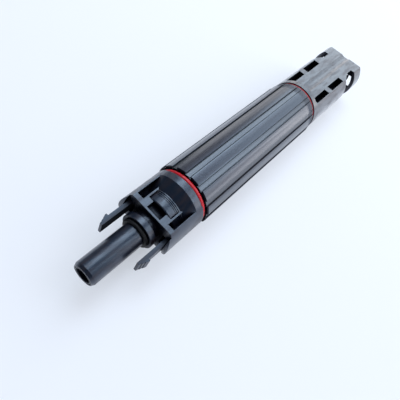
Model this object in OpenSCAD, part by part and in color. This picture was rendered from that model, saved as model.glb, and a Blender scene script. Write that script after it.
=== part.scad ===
// In-line fuse connector for solar string cables: a fluted grip tube holds a cartridge fuse,
// a plug end with two latch arms screws into its front and a socket end screws into its rear.
// Millimetres. +X runs along the axis to the plug's nose, +Z is up, the origin is mid-length.

/* [Overall] */
// Length of the fluted tube between its end faces
tube_len = 66; // [63:0.5:72]
// Diameter over the tube's lands
tube_d = 22; // [21.6:0.1:23]
// Reach of the plug end in front of the tube
front_len = 40.5; // [39:0.5:44]
// Reach of the socket end behind the tube
rear_len = 42.5; // [40:0.5:47]

/* [Grip tube] */
// Number of grooves round the tube
flutes = 12; // [10:1:14]
// Width of one groove
groove_w = 2.2; // [1.8:0.1:2.6]
// Depth of the flat strip along one groove
groove_depth = 0.5; // [0.3:0.05:0.7]
// Width of the slits along both edges of a groove
slit_w = 0.35; // [0.25:0.05:0.5]
// Turn of the grooves from the socket end's flats
flute_turn = 2; // [0:1:15]
// Length of the taper at the tube's rear rim
taper_len = 3.5; // [2:0.5:5]

/* [Screw joints] */
// Length of the threaded spigots
spigot_len = 10; // [9.5:0.1:11]
// Section diameter of the red seal rings
seal_section = 1.6; // [1.4:0.1:1.8]
// Radial height left for the thread form
thread_h = 0.6; // [0.4:0.05:0.7]
// Radial clearance of the spigot's pilot in the tube
screw_clear = 0.1; // [0.05:0.05:0.2]
// Gap between the tube's rear rim and the socket end
rear_gap = 0.9; // [0.3:0.05:1.1]

/* [Plug end] */
// Turn of the tightened plug end against the socket end
plug_turn = -7; // [-30:1:30]
// Outside diameter of the nose
nose_d = 8.2; // [8:0.1:8.4]
// Diameter of the flange behind the nose seal
flange_d = 12.2; // [11.8:0.1:12.4]
// Distance across the flats of both ends
flat_across = 13.4; // [13.2:0.1:14]
// Reach of the latch arms in front of the tube
arm_reach = 27.7; // [27:0.1:29]
// Thickness of a latch arm
arm_t = 1.35; // [1.1:0.05:1.4]
// Height of a latch arm
arm_h = 5.5; // [4.8:0.1:5.8]
// Height of the latch barb over the arm's outer face
barb = 0.7; // [0.5:0.05:0.8]

/* [Socket end] */
// Wall of the outer shell at its round sides
shell_wall = 1.5; // [1.2:0.05:1.6]
// Thickness of the outer shell at its flats
plate_t = 2.4; // [1.6:0.1:2.6]
// Outside diameter of the inner barrel
barrel_d = 13; // [12.7:0.1:13.2]
// Length of the latch windows
window_len = 8; // [7:0.1:9]
// Depth of the latch windows, from the tube's radius inwards
window_deep = 4.8; // [4.6:0.1:4.9]
// Depth of the weight-saving pits in the flats
pit_depth = 4; // [2:0.1:4.2]

/* [Contacts] */
// Diameter of the contact pin and of the bore that takes it
pin_d = 4; // [3.9:0.05:4.1]
// Outside diameter of the contacts
contact_d = 5.6; // [5.5:0.1:5.7]
// Depth of the socket contact's bore
contact_depth = 18; // [17:0.5:19]

/* [Fuse] */
// Diameter over the fuse's end caps
fuse_d = 10.3; // [10.2:0.1:10.5]
// Length of the fuse
fuse_len = 38; // [37:0.5:39]
// Length of an end cap
cap_len = 10; // [9:0.5:11]
// Sheet thickness of the fuse clips
clip_t = 0.6; // [0.5:0.05:0.8]

/* [Hidden] */
$fn = 96;

// Stations along the axis
total_len = front_len + tube_len + rear_len;
x_front = total_len / 2 - front_len;
x_rear = x_front - tube_len;
x_mid = (x_front + x_rear) / 2;

// Named clearances, the edge break of the mouldings, and the overrun of a cut past a face
seat = 0.05;
skin = 0.1;
flex_room = 0.3;
edge = 0.3;
over = 1;

// Radii of the tube and the screw joints
tube_r = tube_d / 2;
housing_r = tube_r - 0.5;
ring_sink = 0.35;
seat_r = housing_r - ring_sink;
ring_r = seat_r - seat - seal_section / 2;
pilot_r = ring_r - seal_section / 2 - seat;
bore_r = pilot_r + screw_clear;
root_r = pilot_r - thread_h;
spigot_wall = 1.8;
spigot_lead = 0.5;
pilot_len = 1.5;
seal_gap = seal_section + 2 * seat;
bore_len = spigot_len + 1;
bore_lead = 0.6;
slit_deep = 0.35;
rim = 0.6;
flat = flat_across / 2;

// Contact passage, the same in both ends, measured outwards from the tube's end face
contact_r = contact_d / 2;
passage_r = contact_r + 0.15;
stem_r = 2.3;
room_len = 7;
room_r = passage_r + 0.65;
front_throat = 8;

// Plug end, measured forwards from the tube's front face
nose_r = nose_d / 2;
neck_r = housing_r - 2.8;
step_n = 3;
step_w = 0.5;
step_h = 0.18;
ring_end = 4.5;
cone_end = 9.8;
neck_end = 12.5;
bar_back = 14.3;
slot_front = 15.3;
bar_front = 16;
fender_end = 18;
flange_back = 18.2;
flange_front = 20.3;
boss_r = nose_r + 0.9;
nose_seal_len = 1.2;
nose_seal_round = 0.5;
nose_seal_r = nose_r + 1.1;
nose_groove_r = nose_r - 0.4;
tip_lead = 1;
mouth_len = 3;
mouth_r = pin_d / 2 + 0.45;
key_half = 0.4;
tip_ring_in = mouth_r + 0.5;
tip_ring_w = 0.3;
pocket_in = 5.3;
pocket_out = housing_r - 2.7;
rib_t = 0.6;
slot_half = 2.75;

// Latch arms
arm_out = housing_r - 1.8;
arm_in = arm_out - arm_t;
knuckle_x = 5.2;
knuckle_y = (arm_in + arm_out) / 2;
knuckle_r = 1;
flex = 4;
lead_in = 3;
tip_t = 0.9;
ridge_n = 2;
ridge_h = 0.15;
barb_len = 0.4;
barb_back = arm_reach - lead_in - barb_len;
channel_h = arm_h + 3 * skin;
channel_far = fender_end + over;
channel_in = arm_in - (channel_far - knuckle_x) * tan(flex + 1) - 2 * skin;
pocket_floor = channel_h / 2 + rib_t;

// Socket end, measured backwards from the tube's rear face
mouth_x = rear_len - (flange_front - fender_end);
partition_x = mouth_x - (front_len - flange_front) - 0.4;
lip = 1.5;
collar_len = 3.6;
rear_throat = partition_x - lip - collar_len - room_len;
nose_bore_r = nose_r + 0.2;
seal_bore_r = nose_seal_r + skin;
seal_bore_len = nose_seal_len + 0.6;
mouth_rim_r = seal_bore_r + edge;
pin_shoulder_r = pin_d / 2 + 0.4;
pin_tip = mouth_x - 4.1;
pin_nose = 1.6;
rear_cone_start = 3;
rear_cone_r = flat - edge;
rear_cone_end = rear_cone_start + housing_r - rear_cone_r;
window_end = rear_len - (barb_back - fender_end) + skin;
window_start = window_end - window_len;
window_in = tube_r - window_deep;
window_out = housing_r - 2.2;
window_ramp = window_len / 2;
pit_start = rear_cone_start + 1.3;
pit_rib = 2.6;
pit_end = window_start - 1.9;
pit_len = (pit_end - pit_start - pit_rib) / 2;
ease_r = 5;
ease_depth = 0.45;

// Fuse and clips
fuse_r = fuse_d / 2;
fuse_gap = 0.2;
clip_face = -(tube_len / 2 - fuse_len / 2 - fuse_gap);
clip_base = 1.2;
clip_in = fuse_r + seat;
clip_out = clip_in + clip_t;
clip_slots = 3;
clip_slot_half = 0.5;
chamber_r = clip_out + 1.7;
cap_t = 0.2;
cap_end = 0.5;
cap_edge = 0.4;
ceramic_r = fuse_r - cap_t - seat;
ceramic_bore = ceramic_r - 1.3;
element_w = 3;
element_t = 0.2;
element_hole_r = 0.45;
element_room = 0.1;

// Louvred band in the socket contact, measured back from the contact's tip
socket_tip = front_len - mouth_len - skin;
band_front = 4;
band_back = 12;
band_room = 0.35;
band_rim = 1.2;
louvres = 10;
louvre_half = 0.2;

// Solid of revolution about X from points [radius, station]
module spun(points) {
    rotate([0, 90, 0]) rotate_extrude() polygon(points);
}

// Points of a bend [radius, station] round a centre, from one angle to another
function bend(r, x, radius, from, to, steps = 4) = [for (i = [0 : steps])
    let (angle = from + (to - from) * i / steps) [r + radius * cos(angle), x + radius * sin(angle)]];

// Round bar about X between two stations
module rod(r, a, b) {
    translate([a, 0, 0]) rotate([0, 90, 0]) cylinder(h = b - a, r = r);
}

// Box between two corners
module box(low, high) {
    translate(low) cube(high - low);
}

// Copies on both sides of the axis, above and below it, and evenly round it
module sides() {
    children();
    mirror([0, 1, 0]) children();
}
module levels() {
    children();
    mirror([0, 0, 1]) children();
}
module around(count, turn = 360) {
    for (i = [0 : count - 1]) rotate([i * turn / count, 0, 0]) children();
}

// Local frames at the tube's two end faces, +X pointing away from the tube
module at_front() {
    translate([x_front, 0, 0]) rotate([plug_turn, 0, 0]) children();
}
module at_rear() {
    translate([x_rear, 0, 0]) mirror([1, 0, 0]) children();
}

// Cut of one groove: a flat strip between two narrow slits
module groove() {
    half = groove_w / 2;
    strip = half - slit_w;
    strip_r = tube_r - groove_depth;
    slit_r = strip_r - slit_deep;
    translate([x_rear - over, 0, 0]) rotate([90, 0, 90]) linear_extrude(tube_len + 2 * over) polygon([
        [-half, tube_r + over], [-half, slit_r], [-strip, slit_r], [-strip, strip_r],
        [strip, strip_r], [strip, slit_r], [half, slit_r], [half, tube_r + over]]);
}

module body_tube() color("#2a2d33") difference() {
    spun([
        [bore_r, x_rear], [tube_r - rim, x_rear], [tube_r, x_rear + taper_len],
        [tube_r, x_front - edge], [tube_r - edge, x_front], [bore_r, x_front],
        [bore_r, x_front - bore_len], [chamber_r, x_front - bore_len - bore_lead],
        [chamber_r, x_rear + bore_len + bore_lead], [bore_r, x_rear + bore_len]]);
    rotate([flute_turn, 0, 0]) around(flutes) groove();
}

// Stepped passage for a contact: open spigot, throat, room for the retaining clip
module contact_passage(throat) {
    rod(root_r - spigot_wall, -spigot_len - over, -1);
    rod(passage_r, -1 - over, throat + over);
    rod(room_r, throat, throat + room_len);
}

// Threaded spigot with its pilot, which carries the red seal
module spigot() {
    root = seal_gap + edge;
    spun([
        [0, -spigot_len], [root_r - spigot_lead, -spigot_len], [root_r, -spigot_len + spigot_lead],
        [root_r, -pilot_len - thread_h], [pilot_r, -pilot_len], [pilot_r, root], [0, root]]);
}

// Free room round one latch arm, from its rounded root to the front
module latch_channel() {
    translate([0, 0, -channel_h / 2]) {
        linear_extrude(channel_h) polygon([
            [knuckle_x, knuckle_y - knuckle_r - skin], [channel_far, channel_in],
            [channel_far, arm_out + flex_room], [knuckle_x, knuckle_y + knuckle_r + skin]]);
        translate([knuckle_x, knuckle_y, 0]) cylinder(h = channel_h, r = knuckle_r + skin);
    }
}

// Side cheek that runs on in front of the wall and shields the arm's root
module cheek() {
    reach = fender_end - bar_front;
    bow_r = (flat * flat + reach * reach) / (2 * reach);
    intersection() {
        rod(housing_r, bar_front - over, fender_end);
        box([bar_front - over, arm_out + flex_room, -flat], [fender_end, housing_r + over, flat]);
        translate([fender_end - bow_r, 0, 0]) rotate([-90, 0, 0]) cylinder(h = housing_r + over, r = bow_r);
    }
}

// Flat-sided frame of the plug end, with blind side pockets and a recess round the neck
module plug_frame() difference() {
    intersection() {
        rod(housing_r, seal_gap, bar_front);
        box([0, -housing_r - over, -flat], [bar_front, housing_r + over, flat]);
    }
    levels() {
        sides() box([ring_end - over, pocket_in, pocket_floor], [bar_back, pocket_out, flat + over]);
        box([cone_end - over, rib_t - pocket_in, boss_r + skin], [neck_end, pocket_in - rib_t, flat + over]);
        box([neck_end - over, -slot_half, boss_r + skin], [slot_front, slot_half, flat + over]);
    }
}

// Collar, cone with fine steps at its foot, and neck
module plug_neck() {
    foot = cone_end - step_n * step_w;
    spun([
        [0, seal_gap], [housing_r - edge, seal_gap], [housing_r, seal_gap + edge], [housing_r, ring_end],
        [neck_r + step_n * step_h, foot], [neck_r, foot],
        [neck_r, neck_end - edge], [neck_r - edge, neck_end], [0, neck_end]]);
    for (i = [1 : step_n])
        rod(neck_r + (step_n - i) * step_h + skin, foot - 2 * skin, foot + i * step_w);
}

// Boss, flange, groove of the black seal, and nose
module plug_nose() {
    flange_r = flange_d / 2;
    groove_end = flange_front + nose_seal_len;
    spun([
        [0, neck_end - over], [boss_r, neck_end - over], [boss_r, flange_back],
        [flange_r - skin, flange_back], [flange_r, flange_back + skin],
        [flange_r, flange_front - skin], [flange_r - skin, flange_front], [nose_groove_r, flange_front],
        [nose_groove_r, groove_end], [nose_r, groove_end], [nose_r, front_len - tip_lead],
        [nose_r - tip_lead / 2, front_len], [0, front_len]]);
}

// Hole in the nose's tip, with the key that orients the contact, and the ring round it
module nose_mouth() {
    difference() {
        spun([
            [0, front_len - mouth_len - over], [mouth_r, front_len - mouth_len - over],
            [mouth_r, front_len - edge], [mouth_r + edge, front_len],
            [mouth_r + edge, front_len + over], [0, front_len + over]]);
        box([0, -key_half, pin_d / 2 + skin], [front_len - 2 * edge, key_half, mouth_r + over]);
    }
    spun([
        [tip_ring_in, front_len - edge], [tip_ring_in + tip_ring_w, front_len - edge],
        [tip_ring_in + tip_ring_w, front_len + over], [tip_ring_in, front_len + over]]);
}

module front_housing() color("#303339") at_front() difference() {
    union() {
        plug_frame();
        plug_neck();
        plug_nose();
        spigot();
        sides() cheek();
    }
    sides() latch_channel();
    contact_passage(front_throat);
    rod(passage_r, front_throat + room_len - over, front_len - mouth_len);
    nose_mouth();
}

// Latch window at +Y: a ramp for the arm, then the edge behind which the barb drops
module latch_window() {
    translate([0, 0, -flat - over]) linear_extrude(2 * (flat + over)) polygon([
        [window_start, window_out], [window_end - window_ramp, window_in],
        [window_end, window_in], [window_end, housing_r + over], [window_start, housing_r + over]]);
}

// Two pits one behind the other at +Y and +Z
module pits() {
    for (i = [0 : 1]) {
        start = pit_start + i * (pit_len + pit_rib);
        box([start, pocket_in - i * 2 * skin, flat - pit_depth], [start + pit_len, pocket_out, flat + over]);
    }
}

// Flat-sided shell of the socket end, hollow round the barrel, with a collar that is sunk for the seal
module socket_shell() difference() {
    union() {
        intersection() {
            spun([
                [0, rear_cone_start - over], [housing_r, rear_cone_start - over],
                [housing_r, rear_len - edge], [housing_r - edge, rear_len], [0, rear_len]]);
            box([0, -housing_r - over, -flat], [rear_len + over, housing_r + over, flat]);
        }
        spun([
            [0, seal_gap], [seat_r, seal_gap], [seat_r, rear_gap], [housing_r - skin, rear_gap],
            [housing_r, rear_gap + skin], [housing_r, rear_cone_start],
            [rear_cone_r, rear_cone_end], [0, rear_cone_end]]);
    }
    intersection() {
        rod(housing_r - shell_wall, window_start, rear_len + over);
        box([0, -housing_r, -flat + plate_t], [rear_len + over, housing_r, flat - plate_t]);
    }
    sides() latch_window();
}

module rear_housing() color("#303339") at_rear() difference() {
    union() {
        socket_shell();
        spun([
            [0, partition_x - over], [barrel_d / 2, partition_x - over], [barrel_d / 2, mouth_x - edge],
            [barrel_d / 2 - edge, mouth_x], [0, mouth_x]]);
        spigot();
    }
    levels() {
        sides() pits();
        translate([0, 0, flat + ease_r - ease_depth]) rod(ease_r, rear_cone_end, rear_len + over);
    }
    contact_passage(rear_throat);
    rod(passage_r, rear_throat + room_len - over, partition_x - lip);
    rod(pin_shoulder_r + seat, partition_x - lip - over, partition_x + over);
    rod(nose_bore_r, partition_x, mouth_x + over);
    rod(seal_bore_r, mouth_x - seal_bore_len, mouth_x + over);
    rod(mouth_rim_r, mouth_x, rear_len + over);
}

// Round-section ring about X between the tube's end face and a housing
module seal_ring() {
    translate([seal_gap / 2, 0, 0]) rotate([0, 90, 0])
        rotate_extrude() translate([ring_r, 0]) circle(d = seal_section, $fn = 32);
}
module front_seal() color("#c8102e") at_front() seal_ring();
module rear_seal() color("#c8102e") at_rear() seal_ring();

module nose_seal() color("#17181a") at_front() {
    low = flange_front + seat;
    high = flange_front + nose_seal_len - seat;
    inner = nose_groove_r + seat;
    crown = nose_seal_r - nose_seal_round;
    spun(concat(
        [[inner, low + 2 * skin], [inner + 2 * skin, low]],
        bend(crown, low + nose_seal_round, nose_seal_round, -90, 0),
        bend(crown, high - nose_seal_round, nose_seal_round, 0, 90),
        [[inner + 2 * skin, high], [inner, high - 2 * skin]]));
}

// Latch arm at +Y: rounded root, spring arm, barb, and a ridged lead-in that ends in a blunt tip
module latch() {
    crest = arm_out + barb;
    tip = arm_in + tip_t;
    step = lead_in / (ridge_n + 1);
    rise = (crest - tip) / (ridge_n + 1);
    ridges = [for (i = [1 : ridge_n], drop = [ridge_h, 0])
        [arm_reach - i * step, tip + i * rise - drop]];
    translate([0, 0, -arm_h / 2]) {
        linear_extrude(arm_h) polygon(concat(
            [[knuckle_x, arm_in], [arm_reach, arm_in], [arm_reach, tip]], ridges,
            [[arm_reach - lead_in, crest], [barb_back, crest],
                [barb_back - skin, arm_out], [knuckle_x, arm_out]]));
        translate([knuckle_x, knuckle_y, 0]) cylinder(h = arm_h, r = knuckle_r);
    }
}
module left_latch() color("#26282d") at_front() mirror([0, 1, 0]) latch();
module right_latch() color("#26282d") at_front() latch();

// Stem shared by both contacts: riveted end, collar, seat of the retaining clip
function stem_points(throat) = let (base = clip_face + clip_base + seat, washer = stem_r + 1.2) [
    [0, clip_face], [stem_r, clip_face], [stem_r, base], [washer, base], [washer, base + 1.4],
    [stem_r, base + 1.8], [stem_r, throat - 1], [contact_r, throat - 1],
    [contact_r, throat], [stem_r, throat], [stem_r, throat + room_len], [contact_r, throat + room_len]];

module socket_contact() color("#c7a15a") at_front() difference() {
    spun(concat(stem_points(front_throat), [
        [contact_r, socket_tip - edge], [contact_r - edge, socket_tip], [0, socket_tip]]));
    rod(pin_d / 2, socket_tip - contact_depth, socket_tip + over);
    rod(pin_d / 2 + band_room, socket_tip - band_back, socket_tip - band_front);
}

// Louvred band that grips the mating pin
module socket_contact_spring() color("#b98a3c") at_front() difference() {
    low = socket_tip - band_back + seat;
    high = socket_tip - band_front - seat;
    inner = pin_d / 2 + seat;
    outer = pin_d / 2 + band_room - seat;
    spun([[inner, low], [outer, low], [outer, high], [inner, high]]);
    around(louvres) box([low + band_rim, -louvre_half, 0], [high - band_rim, louvre_half, outer + over]);
}

module pin_contact() color("#c7a15a") at_rear() {
    pin_r = pin_d / 2;
    stop = partition_x - lip - skin;
    spun(concat(stem_points(rear_throat), [
        [contact_r, stop], [pin_shoulder_r, stop], [pin_shoulder_r, partition_x], [pin_r, partition_x],
        [pin_r, pin_tip - pin_nose], [pin_r - 0.25, pin_tip - pin_nose / 2],
        [pin_r - 0.8, pin_tip - pin_nose / 8], [pin_r - 1.2, pin_tip], [0, pin_tip]]));
}

// Retaining clip: sleeve on the stem with barbs that open behind the throat
module contact_clip(throat) {
    start = throat + 2 * skin;
    end = throat + room_len - 2 * skin;
    fold = end - 3;
    difference() {
        spun([
            [stem_r + seat, start], [stem_r + 0.35, start], [stem_r + 0.35, fold],
            [room_r - 0.45, start + skin], [room_r - 0.2, start + skin], [stem_r + 0.4, fold + 1.2],
            [stem_r + 0.4, end], [stem_r + seat, end]]);
        around(3) box([throat, -0.6, stem_r + 0.36], [fold + 0.2, 0.6, room_r + over]);
    }
}
module front_contact_clip() color("#d0d3d8") at_front() contact_clip(front_throat);
module rear_contact_clip() color("#d0d3d8") at_rear() contact_clip(rear_throat);

// Slotted cup that grips one end cap of the fuse
module fuse_clip() {
    difference() {
        spun([
            [stem_r + seat, clip_face], [stem_r + seat, clip_face + clip_base],
            [clip_out - edge, clip_face + clip_base], [clip_out, clip_face + clip_base - edge],
            [clip_out, clip_face - cap_len], [clip_in + 0.2, clip_face - cap_len],
            [clip_in, clip_face - cap_len + 0.6], [clip_in, clip_face]]);
        around(clip_slots, 180) box([clip_face - cap_len - over, -clip_slot_half, -clip_out - over],
            [clip_face - 0.8, clip_slot_half, clip_out + over]);
    }
}
module front_fuse_clip() color("#c9b27a") at_front() fuse_clip();
module rear_fuse_clip() color("#c9b27a") at_rear() fuse_clip();

module fuse_tube() color("#eceae2") translate([x_mid, 0, 0]) {
    half = fuse_len / 2 - cap_end - seat;
    spun([[ceramic_bore, -half], [ceramic_r, -half], [ceramic_r, half], [ceramic_bore, half]]);
}

// End cap of the fuse, closed at +X
module fuse_cap() {
    half = fuse_len / 2;
    inner = ceramic_r + seat;
    spun([
        [0, half], [fuse_r - cap_edge, half], [fuse_r, half - cap_edge], [fuse_r, half - cap_len],
        [inner, half - cap_len], [inner, half - cap_end], [0, half - cap_end]]);
}
module front_fuse_cap() color("#d8dade") translate([x_mid, 0, 0]) fuse_cap();
module rear_fuse_cap() color("#d8dade") translate([x_mid, 0, 0]) mirror([1, 0, 0]) fuse_cap();

// Melting strip with rows of holes that make its necks
module fuse_element() color("#c0c4c9") translate([x_mid, 0, 0]) difference() {
    half = fuse_len / 2 - cap_end - seat;
    box([-half, -element_w / 2, -element_t / 2], [half, element_w / 2, element_t / 2]);
    for (i = [-2 : 2], y = [-element_w / 2, 0, element_w / 2])
        translate([i * half / 3, y, -element_t]) cylinder(h = 2 * element_t, r = element_hole_r, $fn = 32);
}

module fuse_filler() color("#cdbf9e") translate([x_mid, 0, 0]) difference() {
    half = fuse_len / 2 - cap_end - 2 * seat;
    slot_y = element_w / 2 + element_room;
    slot_z = element_t / 2 + element_room;
    rod(ceramic_bore - seat, -half, half);
    box([-half - over, -slot_y, -slot_z], [half + over, slot_y, slot_z]);
}

body_tube();
front_housing();
rear_housing();
front_seal();
rear_seal();
nose_seal();
left_latch();
right_latch();
socket_contact();
socket_contact_spring();
pin_contact();
front_contact_clip();
rear_contact_clip();
front_fuse_clip();
rear_fuse_clip();
fuse_tube();
front_fuse_cap();
rear_fuse_cap();
fuse_element();
fuse_filler();
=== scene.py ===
# %% [markdown]
# # An in-line fuse connector for solar cables
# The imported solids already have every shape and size. This lesson dresses them: a camera and a
# bright table as in the photograph, moulded black plastic, red silicone seals, plated metal, and the
# screw threads that show when the two ends are turned out of the tube. All lengths are in metres.

# %% Load the solids
import math

import bmesh
import bpy
from mathutils import Matrix, Vector


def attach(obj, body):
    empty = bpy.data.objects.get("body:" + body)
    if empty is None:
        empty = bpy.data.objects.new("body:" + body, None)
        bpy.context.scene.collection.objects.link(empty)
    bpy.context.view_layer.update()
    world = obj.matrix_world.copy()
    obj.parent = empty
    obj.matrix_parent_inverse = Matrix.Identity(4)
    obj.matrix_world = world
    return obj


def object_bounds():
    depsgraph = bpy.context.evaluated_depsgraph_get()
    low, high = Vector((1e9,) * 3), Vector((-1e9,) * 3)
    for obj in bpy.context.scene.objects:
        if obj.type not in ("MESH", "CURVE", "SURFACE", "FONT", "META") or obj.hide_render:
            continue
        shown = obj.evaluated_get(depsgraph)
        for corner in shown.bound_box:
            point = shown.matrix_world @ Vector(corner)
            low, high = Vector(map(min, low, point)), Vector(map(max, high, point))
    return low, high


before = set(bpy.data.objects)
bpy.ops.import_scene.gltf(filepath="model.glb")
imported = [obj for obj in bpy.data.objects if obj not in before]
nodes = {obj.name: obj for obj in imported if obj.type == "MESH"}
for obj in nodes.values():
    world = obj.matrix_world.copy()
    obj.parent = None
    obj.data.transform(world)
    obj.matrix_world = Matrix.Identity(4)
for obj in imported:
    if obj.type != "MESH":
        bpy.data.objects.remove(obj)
cad_low, cad_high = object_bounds()
MM = 0.001
print("solids:", len(nodes), "box (mm):", [round((b - a) / MM, 1) for a, b in zip(cad_low, cad_high)])

# %% [markdown]
# ## Camera
# The camera looks down on the plug end, and its picture is rolled as well as tilted. The direction
# towards the camera is given by azimuth and elevation in degrees, the roll turns the picture about
# that direction, and the place and lens come from the outline of the part in the photograph.

# %% Camera
CAMERA_AZIMUTH = 22.04
CAMERA_ELEVATION = 55.06
CAMERA_ROLL = math.radians(23.41)
CAMERA_PLACE = Vector((102.1, 34.0, 110.2)) * MM
CAMERA_LENS = 37.1
SENSOR_WIDTH = 36.0
NEAREST_SEEN = 5.0 * MM
UP = Vector((0.0, 0.0, 1.0))


def towards(azimuth, elevation):
    """Unit vector from the part in this direction, both angles in degrees."""
    turn = math.radians(azimuth)
    lift = math.radians(elevation)
    level = math.cos(lift)
    return Vector((level * math.cos(turn), level * math.sin(turn), math.sin(lift)))


def camera_turn(back, roll):
    """Rotation of a camera that looks against the direction back, with its picture rolled."""
    side = UP.cross(back).normalized()
    lift = back.cross(side)
    right = side * math.cos(roll) + lift * math.sin(roll)
    return Matrix((right, back.cross(right), back)).transposed()


camera_data = bpy.data.cameras.new("camera")
camera_data.lens = CAMERA_LENS
camera_data.sensor_width = SENSOR_WIDTH
camera_data.clip_start = NEAREST_SEEN
camera = bpy.data.objects.new("camera", camera_data)
camera_back = towards(CAMERA_AZIMUTH, CAMERA_ELEVATION)
camera.matrix_world = Matrix.Translation(CAMERA_PLACE) @ camera_turn(camera_back, CAMERA_ROLL).to_4x4()
bpy.context.scene.collection.objects.link(camera)
bpy.context.scene.camera = camera
bpy.context.scene.view_settings.view_transform = "Standard"
print("camera at", [round(v, 4) for v in camera.location])

# %% [markdown]
# ## Writing shaders as sums
# A finish is easier to read as an expression than as a list of links. `Wire` stands for one output
# socket and turns plus, minus and times into Math nodes. `Finish` owns one material, and its `node`
# method makes any other node from its type, its settings and its sockets.

# %% Shader helpers
AXIS = (1.0, 0.0, 0.0)
ACROSS = (0.0, 1.0, 1.0)
EVEN = (1.0, 1.0, 1.0)
MIX_FIRST = 6
MIX_SECOND = 7
MIX_RESULT = 2
BEVEL_SAMPLES = 6
OPENNESS_SAMPLES = 12


class Wire:
    """One output socket, with arithmetic that adds Math nodes."""

    def __init__(self, finish, socket):
        self.finish = finish
        self.socket = socket

    def math(self, operation, first, second):
        return self.finish.node("ShaderNodeMath", {"operation": operation}, {0: first, 1: second})

    def __add__(self, other):
        return self.math("ADD", self, other)

    __radd__ = __add__

    def __sub__(self, other):
        return self.math("SUBTRACT", self, other)

    def __rsub__(self, other):
        return self.math("SUBTRACT", other, self)

    def __mul__(self, other):
        return self.math("MULTIPLY", self, other)

    __rmul__ = __mul__


class Finish:
    """One material: a Principled shader and the nodes that feed it."""

    def __init__(self, name, **fixed):
        self.material = bpy.data.materials.new(name)
        self.material.use_nodes = True
        self.tree = self.material.node_tree
        self.shader = self.tree.nodes["Principled BSDF"]
        for socket, value in fixed.items():
            self.shader.inputs[socket.replace("_", " ")].default_value = value

    def plug(self, value, socket):
        if isinstance(value, Wire):
            self.tree.links.new(value.socket, socket)
        else:
            socket.default_value = value

    def node(self, kind, settings, sockets, output=0):
        made = self.tree.nodes.new(kind)
        for key, value in settings.items():
            setattr(made, key, value)
        for key, value in sockets.items():
            self.plug(value, made.inputs[key])
        return Wire(self, made.outputs[output])

    def place(self, stretch=EVEN):
        """Object coordinates, stretched along the axes."""
        spot = self.node("ShaderNodeTexCoord", {}, {}, "Object")
        return self.node("ShaderNodeMapping", {}, {"Vector": spot, "Scale": stretch})

    def noise(self, scale, detail=2.0, stretch=EVEN):
        sockets = {"Vector": self.place(stretch), "Scale": scale, "Detail": detail}
        return self.node("ShaderNodeTexNoise", {}, sockets, "Fac")

    def radius(self):
        """Distance from the part's axis, which is X."""
        sockets = {0: self.place(ACROSS)}
        return self.node("ShaderNodeVectorMath", {"operation": "LENGTH"}, sockets, "Value")

    def dot(self, first, second):
        sockets = {0: first, 1: second}
        return self.node("ShaderNodeVectorMath", {"operation": "DOT_PRODUCT"}, sockets, "Value")

    def facing(self):
        """Direction in which a face looks, in the piece's own axes."""
        return self.node("ShaderNodeTexCoord", {}, {}, "Normal")

    def outward(self):
        """1 on a face that looks straight away from the axis, 0 across it and -1 towards it."""
        sockets = {0: self.place(ACROSS)}
        away = self.node("ShaderNodeVectorMath", {"operation": "NORMALIZE"}, sockets)
        return self.dot(self.facing(), away)

    def endwise(self):
        """1 on a face square to the axis, 0 on one along it."""
        along = self.dot(self.facing(), AXIS)
        return along.math("ABSOLUTE", along, 0.0)

    def mask(self, value, low, high):
        """0 below low, 1 above high."""
        return self.node("ShaderNodeMapRange", {"interpolation_type": "SMOOTHSTEP"},
                         {"Value": value, "From Min": low, "From Max": high}, "Result")

    def tint(self, share, first, second):
        """The first colour where share is 0 and the second where it is 1."""
        sockets = {0: share, MIX_FIRST: self.colour(first), MIX_SECOND: self.colour(second)}
        return self.node("ShaderNodeMix", {"data_type": "RGBA"}, sockets, MIX_RESULT)

    def colour(self, value):
        return value if isinstance(value, Wire) else (*value, 1.0)

    def feed(self, **wires):
        for socket, value in wires.items():
            self.plug(value, self.shader.inputs[socket.replace("_", " ")])

    def relief(self, height, depth, edge=0.0):
        """A bump of this depth, over edges that look rounded to the given radius."""
        sockets = {"Height": height, "Distance": depth, "Strength": 1.0}
        if edge:
            sockets["Normal"] = self.node("ShaderNodeBevel", {"samples": BEVEL_SAMPLES}, {"Radius": edge})
        self.feed(Normal=self.node("ShaderNodeBump", {}, sockets))

    def openness(self, reach):
        """1 on an open surface, towards 0 where the piece's own walls stand within reach of it."""
        settings = {"samples": OPENNESS_SAMPLES, "only_local": True}
        return self.node("ShaderNodeAmbientOcclusion", settings, {"Distance": reach}, "AO")

    def show(self, share, first, second):
        """Shows the first shader where share is 0 and the second where it is 1."""
        mixed = self.node("ShaderNodeMixShader", {}, {0: share, 1: first, 2: second})
        self.plug(mixed, self.tree.nodes["Material Output"].inputs["Surface"])

    def own(self):
        return Wire(self, self.shader.outputs["BSDF"])


print("shader helpers ready")
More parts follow.
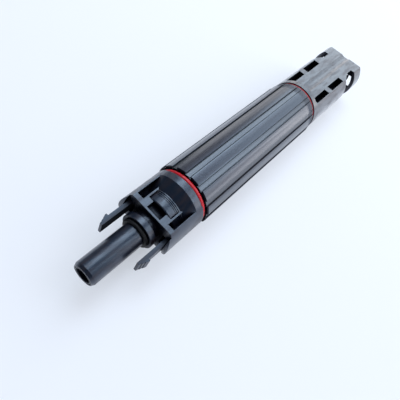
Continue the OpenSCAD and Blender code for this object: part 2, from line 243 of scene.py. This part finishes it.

# %% [markdown]
# ## Black moulded plastic
# The casing is nearly black, a little blue, and what makes it look grey is the reflection of a
# bright room, so the gloss is strong and the colour dark. Three things break up the reflection:
# cloudy gloss from the mould, long rubbing streaks with a warmer tone, and a faint grain. The
# floors of the tube's grooves are paler, and they are found by their distance from the axis. The
# tube's rear taper is rougher than the rest of it. The socket end's colour is lifted to a paler
# grey, a painted lightening that stands in for brighter reflections on it.
#
# A second shader, rougher and darker with little reflection, takes over on the tube's end faces, and
# on the other pieces in deep recesses and on faces that look inwards. Its darkness is painted shade.

# %% Black plastic
CLOUD_SCALE = 140.0
STREAK_SCALE = 900.0
GRAIN_SCALE = 9000.0
RUBBED_FROM = 0.40
RUBBED_TO = 0.70
DEEP_BLACK = (0.002, 0.005, 0.013)
SOFT_BLACK = (0.005, 0.009, 0.020)
RUBBED_BLACK = (0.016, 0.010, 0.012)
GROOVE_GREY = (0.030, 0.029, 0.030)
BLUE_SHEEN = (0.66, 0.77, 1.0)
GREY_SHEEN = (0.78, 0.81, 0.95)
COAT_ROUGHNESS = 0.20
CLOUD_ROUGHNESS = 0.06
RUB_ROUGHNESS = 0.10
TAPER_ROUGHNESS = 0.25
COAT_FRESH = 1.5
COAT_RUBBED_OFF = 1.1
GRAIN_SHARE = 0.7
GRAIN_DEPTH = 0.012 * MM
EDGE_ROUND = 0.14 * MM
GROOVE_FLOOR = 10.55 * MM
LAND_EDGE = 10.8 * MM
TAPER_START = -27.5 * MM
TAPER_END = -29.0 * MM
END_FACE_FROM = 0.5
END_FACE_TO = 0.8
RECESS_REACH = 5.0 * MM
RECESS_FROM = 0.50
RECESS_TO = 0.68
INWARD_SHARE = 0.25
# Painted shade: a darker, rough black with little reflection, shown where shade falls.
MATT_PAINTED_SHADE = {"Base Color": (0.002, 0.003, 0.008, 1.0), "Roughness": 0.9, "Specular IOR Level": 0.1}


def black_plastic(name, gloss, coat, rub_stretch, sheen=BLUE_SHEEN, painted_lift=0.0, grooved=False):
    finish = Finish(name, Specular_IOR_Level=1.0, Specular_Tint=(*sheen, 1.0),
                    Coat_Roughness=COAT_ROUGHNESS)
    cloud = finish.noise(CLOUD_SCALE, 3.0)
    rub = finish.mask(finish.noise(STREAK_SCALE, 4.0, rub_stretch), RUBBED_FROM, RUBBED_TO)
    grain = finish.noise(GRAIN_SCALE, 1.0)
    tones = (DEEP_BLACK, SOFT_BLACK, RUBBED_BLACK)
    # Any painted lightening is added to every tone.
    dark, light, rubbed = [[painted_lift + value for value in tone] for tone in tones]
    skin = finish.tint(rub, finish.tint(cloud, dark, light), rubbed)
    gloss = gloss + CLOUD_ROUGHNESS * cloud + RUB_ROUGHNESS * rub
    coat = coat * (COAT_FRESH - COAT_RUBBED_OFF * rub)
    if grooved:
        land = finish.mask(finish.radius(), GROOVE_FLOOR, LAND_EDGE)
        skin = finish.tint(land, GROOVE_GREY, skin)
        clear = finish.mask(finish.dot(finish.place(), AXIS), TAPER_END, TAPER_START)
        gloss = gloss + TAPER_ROUGHNESS * (1.0 - clear)
        coat = coat * clear
        # Painted shade on the tube's end faces.
        clear_of_painted_shade = 1.0 - finish.mask(finish.endwise(), END_FACE_FROM, END_FACE_TO)
    else:
        outward = 1.0 - INWARD_SHARE + INWARD_SHARE * finish.outward()
        # Painted shade in deep recesses and on faces that look inwards.
        clear_of_painted_shade = finish.mask(finish.openness(RECESS_REACH) * outward, RECESS_FROM, RECESS_TO)
    finish.feed(Base_Color=skin, Roughness=gloss, Coat_Weight=coat)
    finish.relief(GRAIN_SHARE * grain + (1.0 - GRAIN_SHARE) * cloud, GRAIN_DEPTH, edge=EDGE_ROUND)
    finish.show(clear_of_painted_shade, finish.node("ShaderNodeBsdfPrincipled", {}, MATT_PAINTED_SHADE), finish.own())
    return finish.material


tube_plastic = black_plastic("tube_plastic", 0.26, 0.6, (0.015, 1.0, 1.0), grooved=True)
end_plastic = black_plastic("end_plastic", 0.33, 0.35, (0.2, 1.0, 0.2))
# The socket end's paler base colour is painted lightening.
socket_plastic = black_plastic("socket_plastic", 0.30, 0.75, (0.2, 1.0, 0.2), GREY_SHEEN, painted_lift=0.018)
latch_plastic = black_plastic("latch_plastic", 0.42, 0.1, (0.1, 1.0, 0.3))
print("black plastics made")

# %% [markdown]
# ## Seals
# The two rings on the tube are smooth red silicone with a slightly uneven colour and gloss. The seal
# on the nose is black rubber with a matt, slightly dusty face.

# %% Rubber finishes
red_silicone = Finish("red_silicone", Specular_IOR_Level=0.5)
bloom = red_silicone.noise(700.0, 3.0)
red_silicone.feed(
    Base_Color=red_silicone.tint(bloom, (0.50, 0.012, 0.022), (0.66, 0.022, 0.036)),
    Roughness=0.26 + 0.16 * bloom,
)
red_silicone.relief(red_silicone.noise(5000.0), 0.010 * MM)

nose_rubber = Finish("nose_rubber", Specular_IOR_Level=0.4)
dust = nose_rubber.mask(nose_rubber.noise(1800.0, 4.0), 0.5, 0.75)
nose_rubber.feed(
    Base_Color=nose_rubber.tint(dust, (0.008, 0.008, 0.010), (0.016, 0.016, 0.018)),
    Roughness=0.55 + 0.2 * dust,
)
nose_rubber.relief(nose_rubber.noise(7000.0), 0.015 * MM)
print("rubber finishes made")

# %% [markdown]
# ## Metal, ceramic and sand
# The contacts show a little in the nose's tip and the socket's mouth, and the rest only when the
# part is opened or cut. Turned contacts carry fine rings across the axis, rolled strip has streaks
# along it, the fuse body is unglazed ceramic and its filling is sand.

# %% Inner finishes
RINGS = (1.0, 0.05, 0.05)
STREAKS = (0.05, 1.0, 1.0)


def metal(name, first, second, roughness, stretch):
    finish = Finish(name, Metallic=1.0)
    lines = finish.noise(2500.0, 2.0, stretch)
    tarnish = finish.noise(260.0, 4.0)
    finish.feed(Base_Color=finish.tint(tarnish, first, second), Roughness=roughness + 0.14 * lines)
    finish.relief(lines, 0.006 * MM)
    return finish.material


tin_plate = metal("tin_plate", (0.70, 0.69, 0.66), (0.82, 0.81, 0.78), 0.22, RINGS)
spring_bronze = metal("spring_bronze", (0.66, 0.46, 0.22), (0.78, 0.58, 0.30), 0.20, STREAKS)
clip_steel = metal("clip_steel", (0.55, 0.56, 0.58), (0.68, 0.69, 0.70), 0.24, STREAKS)
nickel = metal("nickel", (0.68, 0.66, 0.62), (0.78, 0.76, 0.72), 0.16, RINGS)
silver_strip = metal("silver_strip", (0.80, 0.79, 0.77), (0.90, 0.89, 0.87), 0.26, STREAKS)


def mineral(name, first, second, scale, depth):
    finish = Finish(name, Specular_IOR_Level=0.35)
    speck = finish.noise(scale, 3.0)
    finish.feed(Base_Color=finish.tint(speck, first, second), Roughness=0.6 + 0.25 * speck)
    finish.relief(speck, depth)
    return finish.material


ceramic = mineral("ceramic", (0.78, 0.75, 0.67), (0.88, 0.86, 0.80), 1500.0, 0.01 * MM)
quartz_sand = mineral("quartz_sand", (0.46, 0.37, 0.24), (0.80, 0.72, 0.56), 4200.0, 0.12 * MM)
print("inner finishes made")

# %% [markdown]
# ## Dressing the solids
# Each finish goes on the solids that are made of it.

# %% Put the finishes on the solids
WEARS = {
    tube_plastic: ["body_tube"],
    end_plastic: ["front_housing"],
    socket_plastic: ["rear_housing"],
    latch_plastic: ["left_latch", "right_latch"],
    red_silicone.material: ["front_seal", "rear_seal"],
    nose_rubber.material: ["nose_seal"],
    tin_plate: ["socket_contact", "pin_contact"],
    spring_bronze: ["socket_contact_spring", "front_fuse_clip", "rear_fuse_clip"],
    clip_steel: ["front_contact_clip", "rear_contact_clip"],
    nickel: ["front_fuse_cap", "rear_fuse_cap"],
    ceramic: ["fuse_tube"],
    silver_strip: ["fuse_element"],
    quartz_sand: ["fuse_filler"],
}
for finish, names in WEARS.items():
    for name in names:
        nodes[name].data.materials.clear()
        nodes[name].data.materials.append(finish)
print("dressed", sum(len(names) for names in WEARS.values()), "solids")

# %% [markdown]
# ## Screw threads
# Both ends screw into the tube, and their threads show when they are turned out. A thread is one
# small section that travels round the axis and along it at the same time, which is what a spin with
# a step along the axis does. The threads in the tube start half a pitch deeper, so that they mesh
# with the ones on the spigots through the whole travel. Both ends of a thread run out to nothing.

# %% Threads
PITCH = 2.0 * MM
TURNS = 3.25
STEPS_A_TURN = 48
BASE_HALF = 0.55 * MM
CREST_HALF = 0.20 * MM
SPIGOT_BASE, SPIGOT_CREST = 7.80 * MM, 8.35 * MM
TUBE_BASE, TUBE_CREST = 8.60 * MM, 8.05 * MM
FRONT_START = 25.0 * MM
REAR_START = -29.5 * MM


def run_out(coil, base):
    """Lowers a thread to its base over the first and last part of its length."""
    stations = [vert.co.x for vert in coil.verts]
    first, last = min(stations), max(stations)
    for vert in coil.verts:
        radius = vert.co.yz.length
        room = min(vert.co.x - first, last - vert.co.x)
        height = max(-room, min(room, radius - base))
        vert.co.yz *= (base + height) / radius


def thread(name, body, station, base, crest, finish):
    coil = bmesh.new()
    outline = [(-BASE_HALF, base), (-CREST_HALF, crest), (CREST_HALF, crest), (BASE_HALF, base)]
    corners = [coil.verts.new((station + along, 0.0, radius)) for along, radius in outline]
    section = coil.faces.new(corners)
    bmesh.ops.spin(coil, geom=[section, *section.edges, *section.verts], cent=(0.0, 0.0, 0.0),
                   axis=AXIS, dvec=(PITCH / STEPS_A_TURN, 0.0, 0.0),
                   angle=math.tau * TURNS, steps=round(STEPS_A_TURN * TURNS))
    run_out(coil, base)
    bmesh.ops.recalc_face_normals(coil, faces=coil.faces)
    mesh = bpy.data.meshes.new(name)
    coil.to_mesh(mesh)
    coil.free()
    mesh.materials.append(finish)
    piece = bpy.data.objects.new(name, mesh)
    bpy.context.scene.collection.objects.link(piece)
    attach(piece, body)
    return len(mesh.polygons)


faces = [
    thread("front_thread", "plug_end", FRONT_START, SPIGOT_BASE, SPIGOT_CREST, end_plastic),
    thread("rear_thread", "socket_end", REAR_START, SPIGOT_BASE, SPIGOT_CREST, end_plastic),
    thread("tube_front_thread", "sleeve", FRONT_START - PITCH / 2, TUBE_BASE, TUBE_CREST, tube_plastic),
    thread("tube_rear_thread", "sleeve", REAR_START + PITCH / 2, TUBE_BASE, TUBE_CREST, tube_plastic),
]
print("threads:", len(faces), "faces:", sum(faces))

# %% [markdown]
# ## Table and light
# The photograph was taken on a white table in a bright room. The table is a pale blue-white sheet.
# What the camera and the reflections see of it is mixed with plain white, as an overexposed picture
# does, and its own shading keeps the soft shadow. Two rows of bright panels stand behind the part,
# a low white one and a high bluish one, and together with a panel on the ceiling they give the long
# reflections. The daylight and the overhead lamp light the table and are kept out of reflections.

# %% Table
FLOOR_HALF = 1.6
WHITE_SHARE = 0.5
TABLE_BLUE = (0.75, 0.78, 0.88)
TABLE_GREY = (0.79, 0.81, 0.88)
TABLE_WHITE = (0.87, 0.92, 1.0, 1.0)
floor_mesh = bpy.data.meshes.new("floor")
sheet = bmesh.new()
bmesh.ops.create_grid(sheet, x_segments=1, y_segments=1, size=FLOOR_HALF)
bmesh.ops.translate(sheet, verts=sheet.verts, vec=(0.0, 0.0, cad_low[2]))
sheet.to_mesh(floor_mesh)
sheet.free()
floor = bpy.data.objects.new("floor", floor_mesh)
bpy.context.scene.collection.objects.link(floor)
table = Finish("white_table", Specular_IOR_Level=0.2)
drift = table.noise(3.0, 1.0)
table.feed(Base_Color=table.tint(drift, TABLE_BLUE, TABLE_GREY), Roughness=0.6 + 0.2 * drift)
seen = table.node("ShaderNodeLightPath", {}, {}, "Is Camera Ray")
for ray in ("Is Glossy Ray", "Is Transmission Ray"):
    seen = seen.math("MAXIMUM", seen, table.node("ShaderNodeLightPath", {}, {}, ray))
white = table.node("ShaderNodeEmission", {}, {"Color": TABLE_WHITE, "Strength": 1.0})
table.show(WHITE_SHARE * seen, table.own(), white)
floor_mesh.materials.append(table.material)
print("floor at", round(cad_low[2] / MM, 2), "mm")

# %% Light
PLAIN_WHITE = (1.0, 0.98, 0.97)
SKY_WHITE = (0.76, 0.90, 1.0)
SKY_COLOUR = (0.55, 0.75, 1.0, 1.0)
SKY_STRENGTH = 0.10

# Azimuth in degrees and radiance of each panel in a row
LOW_ELEVATION = 13.0
LOW_SIZE = (0.58, 0.40)
LOW_ROW = {
    "low_right": (125.0, 2.6),
    "low_middle": (155.0, 2.0),
    "low_far": (187.0, 2.6),
    "low_left": (220.0, 1.4),
}
HIGH_ELEVATION = 40.0
HIGH_SIZE = (0.50, 0.50)
HIGH_ROW = {
    "high_right": (130.0, 2.7),
    "high_middle": (163.0, 1.6),
    "high_far": (198.0, 2.3),
}


def lamp(name, azimuth, elevation, size, radiance, colour, reflected=True):
    """A flat lamp one metre from the part in this direction, facing it."""
    width, height = size
    data = bpy.data.lights.new(name, "AREA")
    data.shape = "RECTANGLE"
    data.size = width
    data.size_y = height
    data.energy = math.pi * width * height * radiance
    data.color = colour
    made = bpy.data.objects.new(name, data)
    made.location = towards(azimuth, elevation)
    made.rotation_euler = made.location.to_track_quat("Z", "Y").to_euler()
    made.visible_glossy = reflected
    bpy.context.scene.collection.objects.link(made)


for name, (azimuth, radiance) in LOW_ROW.items():
    lamp(name, azimuth, LOW_ELEVATION, LOW_SIZE, radiance, PLAIN_WHITE)
for name, (azimuth, radiance) in HIGH_ROW.items():
    lamp(name, azimuth, HIGH_ELEVATION, HIGH_SIZE, radiance, SKY_WHITE)
lamp("ceiling", 215.0, 66.0, (0.60, 0.50), 3.8, SKY_WHITE)
lamp("daylight", 147.0, 38.0, (1.87, 1.25), 1.25, PLAIN_WHITE, reflected=False)
lamp("overhead", 0.0, 90.0, (1.5, 1.5), 0.55, PLAIN_WHITE, reflected=False)
world = bpy.data.worlds.new("sky")
world.use_nodes = True
sky = world.node_tree.nodes["Background"]
sky.inputs["Color"].default_value = SKY_COLOUR
sky.inputs["Strength"].default_value = SKY_STRENGTH
bpy.context.scene.world = world
